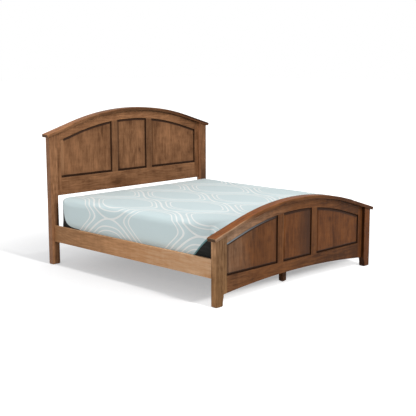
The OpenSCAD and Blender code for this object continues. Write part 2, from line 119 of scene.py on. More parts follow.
def linear(red, green, blue):
    """A colour written in 0 to 255 display values, as the linear values that shaders take."""
    return tuple(
        c / 12.92 if c <= 0.04045 else ((c + 0.055) / 1.055) ** 2.4
        for c in (red / 255, green / 255, blue / 255)
    )


# Settings that a user would change


def colour(name, description, red, green, blue):
    """A setting for a colour, with its default in 0 to 255 display values."""
    return bpy.props.FloatVectorProperty(
        name=name,
        description=description,
        subtype="COLOR",
        size=3,
        min=0,
        max=1,
        default=linear(red, green, blue),
    )


def number(name, description, default, low, high, **more):
    """A setting for a number from low to high."""
    return bpy.props.FloatProperty(
        name=name, description=description, default=default, min=low, max=high, **more
    )


class BedWoodSettings(bpy.types.PropertyGroup):
    """Stains and grain of the bed's woods."""

    head: colour("Headboard", "Stain of the headboard", 124, 86, 58)
    foot: colour("Footboard", "Stain of the footboard", 97, 60, 32)
    pale: colour("Footboard's left", "Paler stain towards the footboard's left end", 136, 107, 84)
    rail: colour("Side rails", "Stain of the side rails", 200, 160, 124)
    slat: colour("Slats", "Bare wood of the slats, cleats and beam", 206, 176, 132)
    # The glaze's colour, which also paints shade in the panels' bevels, in the frame's corners and beside
    # the mattress
    glaze: colour("Glaze", "Dark glaze round the panels", 44, 26, 16)
    # The colours of the caps' upper faces, painted light that sets faces looking up apart from the rest of
    # the cap
    cap_head: colour("Headboard's cap", "Stain on the upper face of the headboard's cap", 160, 106, 66)
    cap_foot: colour("Footboard's cap", "Stain on the upper face of the footboard's cap", 134, 76, 31)
    contrast: number("Contrast", "How strongly the grain shows", 1.5, 0, 3)
    stave: number("Stave", "Width of the boards that a panel is glued from", 0.105, 0.04, 0.3, unit="LENGTH")
    ring: number("Rings", "Distance between growth rings", 0.0058, 0.002, 0.02, unit="LENGTH")


class BedMetalSettings(bpy.types.PropertyGroup):
    """Colour of the plates, screws and bolts."""

    zinc: colour("Zinc", "Zinc plating", 176, 176, 174)


class BedMattressSettings(bpy.types.PropertyGroup):
    """Cover, quilting and fill of the mattress."""

    cover: colour("Cover", "Knitted cover", 208, 224, 226)
    line: colour("Lines", "Quilted lines", 243, 246, 244)
    corner: colour("Corners", "Dark corner patches", 7, 8, 5)
    welt: colour("Edging", "Edging of the corner patches", 92, 132, 134)
    cell_w: number("Ogee width", "Half the width of an ogee", 0.30, 0.08, 0.5, unit="LENGTH")
    cell_l: number("Ogee length", "Half the length of an ogee", 0.58, 0.1, 0.9, unit="LENGTH")
    line_w: number("Line width", "Width of the quilted lines", 0.017, 0.004, 0.03, unit="LENGTH")
    swell: number("Swell", "How far the fill may swell between the lines", 0.006, 0, 0.02, unit="LENGTH")
    voxel: number("Mesh", "Size of the mesh that swells", 0.020, 0.008, 0.05, unit="LENGTH")


class BedStageSettings(bpy.types.PropertyGroup):
    """Camera, lamps and floor."""

    eye: bpy.props.FloatVectorProperty(
        name="Camera",
        description="Place of the camera",
        subtype="TRANSLATION",
        size=3,
        default=(-5.8712, -5.8060, 1.9352),
    )
    turn: number("Turn", "Camera's turn from the bed's length", 0.79099, -3.2, 3.2, subtype="ANGLE")
    tilt: number("Tilt", "Camera's downward tilt", 0.16677, -1.5, 1.5, subtype="ANGLE")
    roll: number("Roll", "Camera's roll", -0.00234, -1.5, 1.5, subtype="ANGLE")
    lens: number("Lens", "Focal length on a 36 mm sensor, in millimetres", 76.97, 10, 300)
    key: number("Key", "Power of the tall lamp high in front, in watts", 1500, 0, 9000)
    fill: number("Fill", "Power of the wide lamp on the left, in watts", 200, 0, 9000)
    sky: number("Sky", "Strength of the light from all round", 0.46, 0, 3)
    lift: number("Floor", "How far the floor is whitened for the camera near the bed", 0.33, 0, 1)


# Shader maths


class Wire:
    """A value in a finish's shader. Arithmetic on it adds Math nodes."""

    def __init__(self, finish, socket):
        self.finish = finish
        self.socket = socket

    def maths(self, operation, *others):
        return self.finish.node("Math", {"operation": operation}, (self, *others))

    def __rsub__(self, other):
        return self.finish.node("Math", {"operation": "SUBTRACT"}, (other, self))

    def rise(self, low, high):
        """0 at low, 1 at high, smooth between them."""
        return self.finish.node(
            "MapRange",
            {"interpolation_type": "SMOOTHSTEP"},
            {"Value": self, "From Min": low, "From Max": high, "To Min": 0.0, "To Max": 1.0},
        )

    def fall(self, low, high):
        """1 at low, 0 at high, smooth between them."""
        return 1 - self.rise(low, high)

    __add__ = __radd__ = partialmethod(maths, "ADD")
    __mul__ = __rmul__ = partialmethod(maths, "MULTIPLY")
    __sub__ = partialmethod(maths, "SUBTRACT")
    __truediv__ = partialmethod(maths, "DIVIDE")
    __pow__ = partialmethod(maths, "POWER")
    __abs__ = partialmethod(maths, "ABSOLUTE")
    sin = partialmethod(maths, "SINE")
    cos = partialmethod(maths, "COSINE")
    sqrt = partialmethod(maths, "SQRT")
    exp = partialmethod(maths, "EXPONENT")
    floor = partialmethod(maths, "FLOOR")
    fract = partialmethod(maths, "FRACT")
    sign = partialmethod(maths, "SIGN")
    least = partialmethod(maths, "MINIMUM")
    most = partialmethod(maths, "MAXIMUM")
    below = partialmethod(maths, "LESS_THAN")


class Finish:
    """The nodes of a material or world, built from expressions."""

    def __init__(self, owner, shader="BsdfPrincipled", output="OutputMaterial"):
        self.owner = owner
        owner.use_nodes = True
        self.nodes = owner.node_tree.nodes
        self.links = owner.node_tree.links
        self.nodes.clear()
        self.shader = self.nodes.new("ShaderNode" + shader)
        end = self.nodes.new("ShaderNode" + output)
        self.links.new(self.shader.outputs[0], end.inputs["Surface"])

    def put(self, socket, value):
        """Links a wire to a socket, or sets the socket to a number or a colour."""
        if isinstance(value, Wire):
            self.links.new(value.socket, socket)
        elif socket.type == "RGBA" and len(value) == 3:
            socket.default_value = (*value, 1.0)
        else:
            socket.default_value = value

    def node(self, kind, settings=None, values=None, out=0):
        """Adds a node: its settings first, then its sockets by name or in order."""
        made = self.nodes.new("ShaderNode" + kind)
        for key, value in (settings or {}).items():
            if key == "stops":
                self.stops(made.color_ramp, value)
            else:
                setattr(made, key, value)
        values = values or {}
        pairs = values.items() if isinstance(values, dict) else enumerate(values)
        for key, value in pairs:
            self.put(made.inputs[key], value)
        return Wire(self, made.outputs[out])

    def stops(self, ramp, stops):
        while len(ramp.elements) < len(stops):
            ramp.elements.new(0.5)
        for element, (place, value) in zip(ramp.elements, stops):
            element.position = place
            element.color = (*value, 1.0)

    def place(self, out="Object"):
        """The three object coordinates or normal parts."""
        coordinates = self.node("TexCoord", out=out)
        return tuple(self.node("SeparateXYZ", None, [coordinates], i) for i in range(3))

    def vector(self, x, y, z):
        return self.node("CombineXYZ", None, [x, y, z])

    def noise(self, vector, scale=1.0, detail=2.0, rough=0.5):
        return self.node(
            "TexNoise",
            {"noise_dimensions": "3D"},
            {"Vector": vector, "Scale": scale, "Detail": detail, "Roughness": rough},
        )

    def mix(self, share, first, second, kind="MIX"):
        return self.node(
            "Mix", {"data_type": "RGBA", "blend_type": kind}, {0: share, 6: first, 7: second}, 2
        )

    def times(self, first, second, share=1.0):
        """A colour multiplied by another colour or by a grey, as far as share says."""
        return self.mix(share, first, second, "MULTIPLY")

    def white_to_eye(self, unseen, seen):
        """One colour for light that falls on things, another for the camera and for reflections."""
        kinds = ("Camera", "Glossy", "Transmission")
        first, second, third = (self.node("LightPath", out="Is %s Ray" % kind) for kind in kinds)
        return self.mix(first.most(second).most(third), unseen, seen)

    def surface(self, **values):
        for key, value in values.items():
            self.put(self.shader.inputs[key.replace("_", " ")], value)

    def bump(self, height, strength, distance):
        normal = self.node("Bump", None, {"Strength": strength, "Distance": distance, "Height": height})
        self.put(self.shader.inputs["Normal"], normal)


def tint(base, factor, warmth=0.0):
    """A lighter or darker version of a linear colour, a little warmer or cooler."""
    red, green, blue = base
    return (
        min(1.0, red * factor * (1 + warmth)),
        min(1.0, green * factor),
        min(1.0, blue * factor * (1 - warmth)),
    )


def arch_depth(x, z, top, off=0.0):
    """How far a point lies below an end board's arch, set in by off."""
    run = abs(x)
    height = z - (top - ARCH_R)
    lean = run.maths("ARCTAN2", height).least(ARCH_LEAN)
    return (ARCH_R - off) - (run * lean.sin() + height * lean.cos())


# Wood

# A board's axes along the grain, across it and behind its face
AXES = {"X": "xzy", "Y": "yzx", "Z": "zxy", "flat": "xyz"}
# How far 1 in the seed moves a board's marks along it, across it and behind its face, in metres
SEED_STEPS = (3.1, 1.7, 0.9)
# The marks of the grain: how often each changes along and across it, per metre, and its noise's detail and
# roughness
MARKS = {
    "sway": (0.9, 1.4, 2.0, 0.5),
    "broad": (1.0, 8, 2.0, 0.5),
    "streak": (4.6, 54, 3.0, 0.65),
    "fine": (9, 300, 2.0, 0.6),
    "fleck": (13, 85, 2.0, 0.6),
    "smudge": (3.4, 21, 1.0, 0.5),
    "cloud": (5.5, 11, 3.0, 0.65),
    "shimmer": (28, 8, 1.0, 0.5),
    "pore": (22, 620, 1.0, 0.5),
}
# The stain from its darkest tone to its lightest: place, how light it is and how much warmer
SHADES = ((0.12, 0.42, 0.09), (0.36, 0.74, 0.05), (0.54, 1.0, 0.0), (0.90, 1.50, 0.0))
# How much longer a knot is than it is wide
KNOT_STRETCH = 1.7


class Cut:
    """What sets a board's look apart, with the values of a plain board."""

    # How far the rings wander along the board, in metres, and how strongly the grain shows
    drift = 0.10
    figure = 1.0
    # How far clouds take the streaks' place, and how much warmer the darker stain is
    calm = 0.0
    ruddy = 0.0
    # The knots, each (along, across, size), and the width of the staves it is glued from
    knots = ()
    stave = None
    # Where along the board the tone is darkest and lightest, and by how much: on the caps and top rails
    # painted shade towards their right-hand ends, elsewhere darker towards one end
    fade = None
    # The axis, where along it the paler, greyer tone is strongest and gone, and how strong it is
    pale = None
    # How much its left side's colour is multiplied by and how much cooler it is, painted light and shade as
    # light falls on that side, and where that side's darker front edge lies
    flank = None
    seam = None
    # A cap's own: the arch's top, the colour of its upper face, which is painted light, where the painted
    # highlight on its front edge's rim fades out, and where painted shade darkens it to the right and how
    # much above and in front
    cap = None
    # The end board whose cap it lies under, for painted light a little below that cap and a painted shadow
    # right beneath it
    under = None
    # A mask of the dark glaze and painted shade, and a mask and a colour of a painted highlight, such as a
    # sheen
    glaze = None
    gleam = None
    # Whether it has no stain
    bare = False

    def __init__(self, **looks):
        for key, value in looks.items():
            if not hasattr(Cut, key):
                raise KeyError(key)
            setattr(self, key, value)


class Wood(Finish):
    """A stained, satin board. Each step, of its finish and of painted light and shade, works on the stain so
    far.
    """

    def __init__(self, name, grain, base, seed, cut):
        super().__init__(bpy.data.materials.new(name))
        self.settings = bpy.context.scene.bed_wood
        self.base = base
        self.seed = seed
        self.cut = cut
        self.x, self.y, self.z = self.place()
        self.axes = {"x": self.x, "y": self.y, "z": self.z}
        self.along, self.across, self.depth = (self.axes[axis] for axis in AXES[grain])
        if cut.cap:
            self.across, self.depth = self.y, arch_depth(self.x, self.z, cut.cap["top"])
        places = zip((self.along, self.across, self.depth), SEED_STEPS)
        self.u, self.v, self.w = (place + seed * step for place, step in places)
        self.marks = {name: self.mark(*shape) for name, shape in MARKS.items()}
        self.wander = self.noise(self.vector(self.u * 1.3 + 7, self.v * 2.0, self.w * 2.0), 1.0, 2.0)
        self.facing = self.place("Normal")
        self.end_grain = abs(self.facing["xyz".index(AXES[grain][0])]).rise(0.80, 0.97)

    def mark(self, length, width, detail, rough):
        """Noise drawn out along the grain."""
        stretched = self.vector(self.u * length, self.v * width, self.w * width)
        return self.noise(stretched, 1.0, detail, rough)

    def above(self):
        """1 on faces that look up, and 0 on others."""
        return self.facing[2].rise(0.80, 0.93)

    def rings(self, pith):
        """The late wood of the log's rings, which drift along the board and bend round each knot, and the
        knots' hearts."""
        side = self.across - pith[0] + (self.marks["sway"] - 0.5) * self.cut.drift
        back = self.depth - pith[1] + (self.wander - 0.5) * self.cut.drift
        radius = (side * side + back * back).sqrt()
        hearts = []
        for along, across, size in self.cut.knots:
            du = (self.along - along) / KNOT_STRETCH
            dv = self.across - across
            far = (du * du + dv * dv) / (size * size)
            radius = radius + (0 - far).exp() * (size * 0.9)
            hearts.append((0 - far * 3).exp() + (0 - far * 0.6).exp() * 0.5)
        ring = (radius / self.settings.ring).fract()
        return ring * ring * ring.fall(0.9, 1.0), hearts

    def tone(self, late, hearts):
        """How light the stain is, from the grain's marks, the staves, the knots and the fade."""
        cut, marks = self.cut, self.marks
        strength = self.settings.contrast * cut.figure
        swings = {
            "streak": 0.74 - cut.calm,
            "broad": 0.32,
            "cloud": 0.52 + cut.calm,
            "fine": 0.42,
            "shimmer": 0.20,
        }
        tone = 0.52
        for name, swing in swings.items():
            tone = tone + (marks[name] - 0.5) * (swing * strength)
        tone = tone - (late - 0.3) * (0.12 * strength)
        tone = tone - marks["fleck"].rise(0.56, 0.72) * (0.08 * strength)
        tone = tone - marks["smudge"].rise(0.58, 0.78) * (0.16 * strength)
        if cut.stave:
            joint = (self.across + self.seed) / cut.stave + (self.wander - 0.5) * 0.05
            shade = self.node("TexWhiteNoise", {"noise_dimensions": "1D"}, {"W": joint.floor()})
            tone = tone + (shade - 0.5) * 0.22 - abs(joint.fract() - 0.5).rise(0.485, 0.5) * 0.06
        if hearts:
            tone = tone - sum(hearts) * 0.34
        if cut.fade:
            heaviest, lightest, amount = cut.fade
            tone = tone - self.along.fall(heaviest, lightest) * amount
        return tone

    def stained(self, tone, pores):
        """The stain, darker in the pores."""
        stops = []
        for place, factor, warmth in SHADES:
            ruddy = self.cut.ruddy if factor < 1 else 0.0
            stops.append((place, tint(self.base, factor, warmth + ruddy)))
        stain = self.node("ValToRGB", {"stops": stops}, [tone])
        return self.mix(pores * 0.20, stain, tint(self.base, 0.35))

    def paled(self, stain):
        """A paler, greyer tone towards one end, which a cap's upper face doesn't have."""
        axis, strongest, gone, strength = self.cut.pale
        paler = tuple(light / plain for light, plain in zip(self.settings.pale, self.base))
        share = (self.axes[axis] + (self.marks["cloud"] - 0.5) * 0.4).fall(strongest, gone)
        if self.cut.cap:
            share = share * (1 - self.above())
        return self.times(stain, paler, share * strength)

    def painted_side_light(self, stain):
        """Painted light and shade on the left side, as light falls on it, with a darker line along its front
        edge.
        """
        lighter, cooler = self.cut.flank
        left = 0 - self.facing[0]
        side = (lighter, lighter * (1 + cooler), lighter * (1 + cooler * 4))
        # Painted light and shade on the left side, as light falls on it
        stain = self.times(stain, side, left.rise(0.5, 0.9))
        behind = self.y - self.cut.seam
        line = behind.fall(0.003, 0.011) * behind.rise(-0.001, 0.001)
        return self.mix(line * left.rise(0.3, 0.7) * 0.5, stain, tint(self.base, 0.55, 0.08))

    def painted_cap_light(self, stain):
        """Painted light and shade on a cap: its upper face's own colour, a painted highlight on its front
        edge's rim, a painted shade line below that, and a right-hand end darkened by painted shade.
        """
        cap, above, depth = self.cut.cap, self.above(), self.depth
        start, stop, upper, face = cap["worn"]
        # Painted shade darkens the cap towards its right-hand end
        right = self.x.rise(start, stop)
        # A painted highlight on the rim of its front edge, fading out to the right
        rim = (0.45 - self.x.rise(*cap["lip"]) * 0.40) * depth.fall(0.007, 0.011)
        # A painted shade line along its front, below the rim
        line = depth.rise(0.018, 0.021) * depth.fall(0.023, 0.026) * 0.16
        shallow = depth.fall(0.013, 0.020)
        shade = 1 + (rim - line - right * shallow * face) * (1 - above) - right * above * upper
        dusk = self.vector(shade, shade * (1 - right * upper * 0.25), shade * (1 - right * upper * 0.45))
        # The upper face's own colour, painted light on faces that look up
        crest = tuple(upper / plain for upper, plain in zip(cap["crest"], self.base))
        return self.times(self.times(stain, dusk), crest, above)

    def shadowed(self, stain):
        """Painted light a little below the cap, and a painted shadow right beneath it, darker to the right.
        """
        below = arch_depth(self.x, self.z, BOARDS[self.cut.under]["top"], CAP_T)
        near, beneath = below.fall(0.002, 0.040), below.fall(0.006, 0.012)
        # Painted light a little below the cap, and a painted shadow right beneath it
        shade = 1 + near * 0.60 - beneath * (0.72 + self.x.rise(-0.4, 0.5) * 0.35)
        return self.times(stain, shade)

    def worn(self, stain):
        """Darker end grain, and a painted highlight on the eased edges."""
        stain = self.mix(self.end_grain * 0.75, stain, tint(self.base, 0.42, -0.15))
        x, y, z = (abs(part) for part in self.facing)
        # A painted highlight on the eased edges, uneven along them
        edges = (1 - x.most(y).most(z)).rise(0.07, 0.20)
        edges = edges * (self.marks["streak"] + self.marks["cloud"] - 0.3)
        return self.mix(edges * 0.6, stain, tint(self.base, 1.9, -0.12))


def wood(name, grain, base, seed, pith, **looks):
    """A board's material. grain names its length, pith is where the log's heart lies across and behind its
    face, and looks are the values of its Cut."""
    cut = Cut(**looks)
    board = Wood(name, grain, base, seed, cut)
    fine, cloud = board.marks["fine"], board.marks["cloud"]
    pores = board.marks["pore"].rise(0.60, 0.72)
    late, hearts = board.rings(pith)
    stain = board.stained(board.tone(late, hearts), pores)
    steps = {"pale": board.paled, "flank": board.painted_side_light, "cap": board.painted_cap_light, "under": board.shadowed}
    for look, step in steps.items():
        if getattr(cut, look):
            stain = step(stain)
    stain = board.worn(stain)
    rough = 0.48 + (fine - 0.5) * 0.25 + (cloud - 0.5) * 0.10
    # Glaze and painted shade, both in the glaze's colour
    if cut.glaze:
        dark = cut.glaze(board)
        stain = board.mix(dark * 0.94, stain, board.settings.glaze)
        rough = rough - dark * 0.12
    if cut.gleam:
        mask, colour_255 = cut.gleam
        shine = mask(board)
        stain = board.mix(shine, stain, linear(*colour_255))
        rough = rough - shine * 0.15
    if cut.bare:
        rough = rough + 0.20
    board.surface(Base_Color=stain, Roughness=rough, Specular_IOR_Level=0.06)
    board.surface(Coat_Weight=0.0 if cut.bare else 0.03, Coat_Roughness=0.25)
    board.bump(fine * 0.6 + late * 0.35 - pores * 0.5, 0.35, 0.0006)
    return board.owner


def dress(material, *names):
    """Gives CAD pieces a material."""
    for name in names:
        mesh = NODES[name].data
        mesh.materials.clear()
        mesh.materials.append(material)


# Masks of the glaze, the painted shade and the painted highlights, each made for one place and used by a
# board

# How much of the glaze and painted shade lies on each panel's left-hand and right-hand bevels, and how far
# and how strongly painted shade darkens the field from the right
BEVELS = {
    "head": {
        "left": (0.0, 0.80, 0.050, 0.16),
        "centre": (0.55, 0.80, 0.050, 0.16),
        "right": (0.30, 0.58, 0.050, 0.16),
    },
    "foot": {
        "left": (0.64, 0.80, 0.060, 0.24),
        "centre": (0.0, 0.80, 0.250, 0.84),
        "right": (0.10, 0.80, 0.050, 0.16),
    },
}
# How far past the bevel the glaze and painted shade thin out under the arch, and how much painted shade lies
# in the right-hand corners between stile and post
ARCH_SOFT = {"head": 0.003, "foot": 0.009}
CORNER_SHADE = {"head": 0.45, "foot": 1.0}


def panel_glaze(end, place):
    """The dark glaze in the sunk bevel round a raised panel, with painted shade: heavier on the right-hand
    bevel, and a painted shadow on the field from the right, above the bottom bevel and under the arch.
    """
    plan = BOARDS[end]
    low, high = plan["openings"][place]
    left_share, right_share, reach, field_share = BEVELS[end][place]
    inner, outer = BEVEL_W - 0.003, BEVEL_W + 0.003

    def mask(board):
        uneven = board.noise(board.vector(board.x, board.y, board.z), 14.0, 3.0) * 0.006 - 0.003
        left = board.x - low + uneven
        right = high - board.x + uneven
        under = arch_depth(board.x, board.z, plan["top"], OPEN_OFF) + uneven
        level = board.z - plan["sill"] + uneven
        # Glaze with painted shade, full in the bottom bevel and under the arch, and by shares on the
        # right-hand and left-hand bevels
        full = level.fall(inner, outer).most(under.fall(inner, BEVEL_W + ARCH_SOFT[end]))
        wide = right.fall(inner, BEVEL_W + 0.006) * right_share
        thin = left.fall(inner, outer) * left_share
        # A painted shadow on the field, beside the bottom bevel and the arch, and from the right
        halo = level.least(under).fall(BEVEL_W, BEVEL_W + 0.050) * 0.16
        field = right.fall(BEVEL_W, BEVEL_W + reach) * field_share
        return full.most(wide).most(thin).most(halo).most(field)

    return mask


def frame_glaze(end):
    """The glaze, with painted shade, on the small chamfers of the frame where they face the panels, and
    painted shade in the right-hand corners between stile and post."""
    plan = BOARDS[end]

    def mask(board):
        depth = board.y - plan["front"]
        sunk = depth.rise(0.0004, 0.0030) * depth.fall(0.018, 0.020)
        # Painted shade in the right-hand corner between stile and post
        corner = board.x.rise(plan["corner"] - 0.028, plan["corner"] - 0.008) * CORNER_SHADE[end]
        return (sunk * (board.z - plan["sill"]).rise(-0.008, -0.004)).most(corner)

    return mask


def left_post_shade(end):
    """Painted shade on the inner side of a left post's front, where the mattress stands beside it."""
    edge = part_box(end + "_post_left")[1].x
    underside = BOARDS[end]["underside"]

    def mask(board):
        inner = board.x.rise(edge - 0.065, edge - 0.015) * board.z.rise(0.18, 0.24)
        return inner * board.z.fall(underside - 0.10, underside + 0.06) * 0.80

    return mask


def right_post_shade(end):
    """Painted shade at the foot of a right post's front, where the mattress stands beside it, and a darker
    right edge.
    """
    low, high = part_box(end + "_post_right")
    underside = BOARDS[end]["underside"]

    def mask(board):
        lower = board.x.rise(low.x + 0.002, low.x + 0.010) * board.z.fall(underside, underside + 0.22)
        return (lower * 0.62).most(board.x.rise(high.x - 0.016, high.x - 0.004) * 0.40)

    return mask


def left_gleam(end, place, width, start, stop):
    """A painted highlight on the left-hand bevel, as light falls on it. It grows from start up to stop."""
    low = BOARDS[end]["openings"][place][0]

    def mask(board):
        left = board.x - low
        return left.rise(0.001, 0.005) * left.fall(width * 0.7, width * 1.3) * board.z.rise(start, stop)

    return mask


def upper_gleam(end, start, stop):
    """A painted sheen on the bevel under the arch, fading along the panel from start to stop."""
    top = BOARDS[end]["top"]

    def mask(board):
        depth = arch_depth(board.x, board.z, top, OPEN_OFF)
        return depth.fall(BEVEL_W - 0.008, BEVEL_W - 0.004) * board.x.fall(start, stop)

    return mask


# The end boards' boards: how light and how warm each one's stain is, and the values of its Cut. The posts'
# and stiles' lightness holds painted light and shade as well as their stain: lighter on the left, darker on
# the right
LOOKS = {
    "head": {
        "post_left": {"shade": (1.30, -0.04), "flank": (1.14, 0.06), "glaze": left_post_shade("head")},
        "post_right": {"shade": (0.82, 0.02), "flank": (2.60, 0.05), "glaze": right_post_shade("head")},
        "stile_left": {"shade": (1.04, 0.0)},
        "stile_right": {"shade": (0.86, 0.06)},
        "cap": {"shade": (1.05, 0.0), "fade": (0.10, -0.95, 0.45)},
        "top_rail": {"shade": (1.18, 0.0), "fade": (0.85, 0.40, 0.31), "under": "head"},
        "mullion": {"shade": (0.76, 0.0)},
        "bottom_rail": {"shade": (1.0, 0.0), "knots": ((-0.204, 0.715, 0.050), (0.671, 0.758, 0.032))},
        "panel_left": {
            "shade": (1.00, 0.0),
            "knots": ((1.33, -0.375, 0.020), (1.24, -0.383, 0.022)),
            "gleam": (left_gleam("head", "left", 0.032, 0.80, 0.95), (148, 107, 75)),
        },
        "panel_centre": {"shade": (0.96, 0.0), "knots": ((1.016, 0.101, 0.022),)},
        "panel_right": {"shade": (0.99, 0.01), "knots": ((1.143, 0.787, 0.020), (0.889, 0.461, 0.026))},
    },
    "foot": {
        "post_left": {"shade": (1.81, -0.25), "flank": (1.98, 0.02), "pale": ("z", 0.85, 0.0, 0.40)},
        "post_right": {"shade": (0.80, 0.18), "flank": (0.40, 0.02)},
        "stile_left": {"shade": (1.78, -0.26), "pale": ("z", 0.85, 0.0, 0.40)},
        "stile_right": {"shade": (0.66, 0.13)},
        "cap": {"shade": (1.05, 0.0), "fade": (0.5, -0.4, 0.34), "pale": ("x", -0.80, -0.58, 1.0)},
        "top_rail": {
            "shade": (1.12, 0.0),
            "fade": (0.92, 0.25, 0.46),
            "pale": ("x", -0.95, -0.02, 1.0),
            "under": "foot",
        },
        "mullion": {"shade": (0.96, 0.0)},
        "bottom_rail": {
            "shade": (0.95, 0.0),
            "knots": ((-0.79, 0.235, 0.036), (0.30, 0.23, 0.014)),
            "fade": (0.42, -0.12, 0.26),
            "pale": ("x", -1.0, -0.4, 0.12),
        },
        "panel_left": {
            "shade": (0.90, 0.04),
            "gleam": (upper_gleam("foot", -0.95, -0.15), (116, 123, 127)),
            "pale": ("x", -1.0, -0.5, 0.70),
        },
        "panel_centre": {
            "shade": (0.89, 0.09),
            "gleam": (left_gleam("foot", "centre", 0.009, 0.36, 0.52), (150, 116, 86)),
        },
        "panel_right": {"shade": (0.96, 0.08), "knots": ((0.52, 0.45, 0.014),)},
    },
}
# The caps: where the painted highlight on the front edge's rim fades out, and where painted shade darkens
# them to the right and how much above and in front
CAPS = {
    "head": {"lip": (-0.85, -0.60), "worn": (0.30, 0.85, 0.60, 0.80)},
    "foot": {"lip": (-0.78, -0.60), "worn": (0.05, 0.60, 0.12, 0.22)},
}
# The seed of each end board's grain, and its steps from rail to rail and from panel to panel
SEEDS = {"head": 1.0, "foot": 2.3}
RAIL_STEP = 0.13
PANEL_STEP = 0.27
# How strongly its rails and mullions are marked, and how far its panels' streaks give way to clouds
RAIL_FIGURE = {"head": 0.85, "foot": 1.05}
PANEL_CALM = {"head": 0.30, "foot": 0.08}


class EndBoard:
    """The finishing of the headboard or the footboard."""

    def __init__(self, end, settings):
        self.end = end
        self.settings = settings
        self.plan = BOARDS[end]
        self.base = tuple(getattr(settings, end))
        self.seed = SEEDS[end]

    def finish(self, part, grain, seed, pith, **looks):
        """Gives a board, or the two mullions, the look that LOOKS has for it."""
        look = dict(LOOKS[self.end][part], **looks)
        stain = tint(self.base, *look.pop("shade"))
        start = self.end + "_" + part
        material = wood(start + "_wood", grain, stain, seed, pith, **look)
        dress(material, *(name for name in NODES if name.startswith(start)))

    def uprights(self):
        """The posts and the stiles beside them."""
        behind = self.plan["front"] - 0.12
        for side in ("left", "right"):
            post, stile = "post_" + side, "stile_" + side
            # How light a post is sets its grain apart from the other's
            seed = self.seed + LOOKS[self.end][post]["shade"][0]
            heart = (middle(self.end + "_" + post).x + 0.03, behind)
            self.finish(post, "Z", seed, heart, seam=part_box(self.end + "_" + post)[0].y)
            heart = (middle(self.end + "_" + stile).x - 0.05, behind)
            self.finish(stile, "Z", seed + 0.4, heart, glaze=frame_glaze(self.end))

    def cap(self):
        crest = getattr(self.settings, "cap_" + self.end)
        cap = dict(CAPS[self.end], top=self.plan["top"], crest=crest)
        self.finish("cap", "X", self.seed + 0.11, (self.plan["front"] + 0.1, -0.14), cap=cap)

    def rails(self):
        """The arched top rail, the mullions and the bottom rail."""
        front = self.plan["front"]
        looks = {"figure": RAIL_FIGURE[self.end], "glaze": frame_glaze(self.end)}
        for part, grain, heart in (
            ("top_rail", "X", (middle(self.end + "_top_rail").z + 0.05, front - 0.1)),
            ("mullion", "Z", (0.1, front - 0.1)),
            ("bottom_rail", "X", (self.plan["sill"] - 0.05, front - 0.12)),
        ):
            self.seed += RAIL_STEP
            self.finish(part, grain, self.seed, heart, **looks)

    def panels(self):
        looks = {"drift": 0.14, "figure": 0.90, "calm": PANEL_CALM[self.end], "stave": self.settings.stave}
        for i, (place, (low, high)) in enumerate(self.plan["openings"].items()):
            self.seed += PANEL_STEP
            heart = (low + (high - low) * (0.35 + 0.2 * i), self.plan["front"] - 0.09)
            glaze = panel_glaze(self.end, place)
            self.finish("panel_" + place, "Z", self.seed, heart, glaze=glaze, **looks)


class BED_OT_end_board(bpy.types.Operator):
    """Stains and glazes the headboard and the footboard, and paints light and shade on them"""

    bl_idname = "bed.end_board"
    bl_label = "Finish End Boards"

    def execute(self, context):
        for end in BOARDS:
            boards = EndBoard(end, context.scene.bed_wood)
            boards.uprights()
            boards.cap()
            boards.rails()
            boards.panels()
        return {"FINISHED"}


def nodes_like(start):
    """The numbered nodes of one kind, such as slat_1 and slat_2."""
    return sorted(name for name in NODES if name.startswith(start) and name[len(start) :].isdigit())


class BED_OT_rails(bpy.types.Operator):
    """Stains the side rails and the legs, and leaves the slats, cleats and beam bare"""

    bl_idname = "bed.rails"
    bl_label = "Finish Rails and Slats"

    def execute(self, context):
        settings = context.scene.bed_wood
        rail = middle("side_rail_right")
        heart = (rail.z + 0.30, rail.x - 0.12)
        looks = {"drift": 0.05, "figure": 0.4, "fade": (1.1, -1.1, 0.37), "ruddy": 0.14}
        stained = wood("side_rail_wood", "Y", tuple(settings.rail), 3.4, heart, **looks)
        dress(stained, "side_rail_left", "side_rail_right")
        heart = (0.0, middle("slat_1").z - 0.16)
        slats = wood("slat_wood", "flat", tuple(settings.slat), 4.2, heart, stave=0.18, bare=True)
        dress(slats, *nodes_like("slat_"))
        cleats = wood("cleat_wood", "Y", tint(settings.slat, 0.92), 4.9, (0.2, 0.9), bare=True)
        dress(cleats, "cleat_left", "cleat_right", "centre_beam")
        legs = wood("leg_wood", "Z", tint(settings.foot, 0.80), 5.3, (0.05, -0.4))
        dress(legs, *nodes_like("centre_leg_"))
        return {"FINISHED"}


# Metal


class BED_OT_metal(bpy.types.Operator):
    """Plates the hook plates, slotted plates, screws and bolts with zinc"""

    bl_idname = "bed.metal"
    bl_label = "Finish Metal"

    def execute(self, context):
        finish = Finish(bpy.data.materials.new("zinc_plate"))
        x, y, z = finish.place()
        zinc = tuple(context.scene.bed_metal.zinc)
        brushed = finish.noise(finish.vector(x * 900, y * 900, z * 40), 1.0, 2.0)
        cloud = finish.noise(finish.vector(x, y, z), 60.0, 3.0)
        stops = [(0.3, tint(zinc, 0.72)), (0.7, tint(zinc, 1.15, 0.03))]
        plating = finish.node("ValToRGB", {"stops": stops}, [cloud])
        finish.surface(Base_Color=plating, Metallic=1.0, Roughness=0.30 + (brushed - 0.5) * 0.3)
        finish.bump(brushed, 0.2, 0.0002)
        dress(finish.owner, *(name for name in NODES if name.endswith(("_plates", "_screws", "_bolts"))))
        return {"FINISHED"}


# The mattress, with its sizes in metres

# Radii of its upright corners and of its upper and lower edges, and the room it leaves in its plain solid
CORNER_R = 0.044
EDGE_R = 0.034
ROOM = 0.001
# How far below the top its sides begin, where the cover is folded out flat
SIDE_START = 0.03
